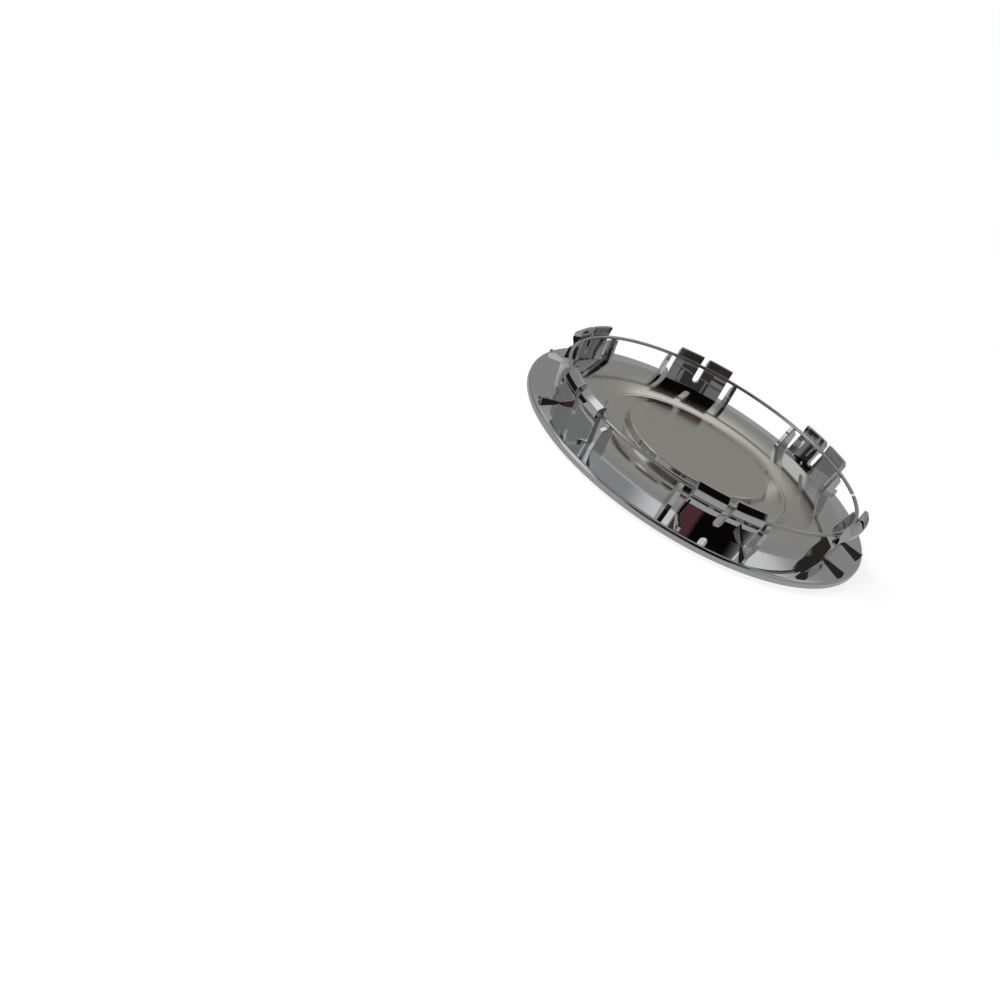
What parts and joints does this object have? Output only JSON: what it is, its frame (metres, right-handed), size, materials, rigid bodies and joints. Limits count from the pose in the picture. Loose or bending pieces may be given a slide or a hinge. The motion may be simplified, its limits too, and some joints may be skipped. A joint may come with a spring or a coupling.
{
  "type": "wheel centre cap",
  "caption": "Round clip-in wheel centre cap: crowned chrome face with a shallow stepped dish, six pairs of barbed snap fingers and a split spring wire on posts behind.",
  "frame": {"origin": "on the wheel axis, at the level of the most forward circle of the face, on which the cap lies", "axes": "+Z along the wheel axis from the face to the clips, +X through the middle of the first clip station"},
  "size_m": [0.165, 0.165, 0.0229],
  "materials": {
    "plating": "bright chrome plating on moulded plastic, a little warmer and duller inside the ring of clips",
    "wire": "drawn spring steel wire, bright"
  },
  "bodies": {
    "root": {"cap_body": "plating", "retaining_wire": "wire"}
  },
  "joints": []
}
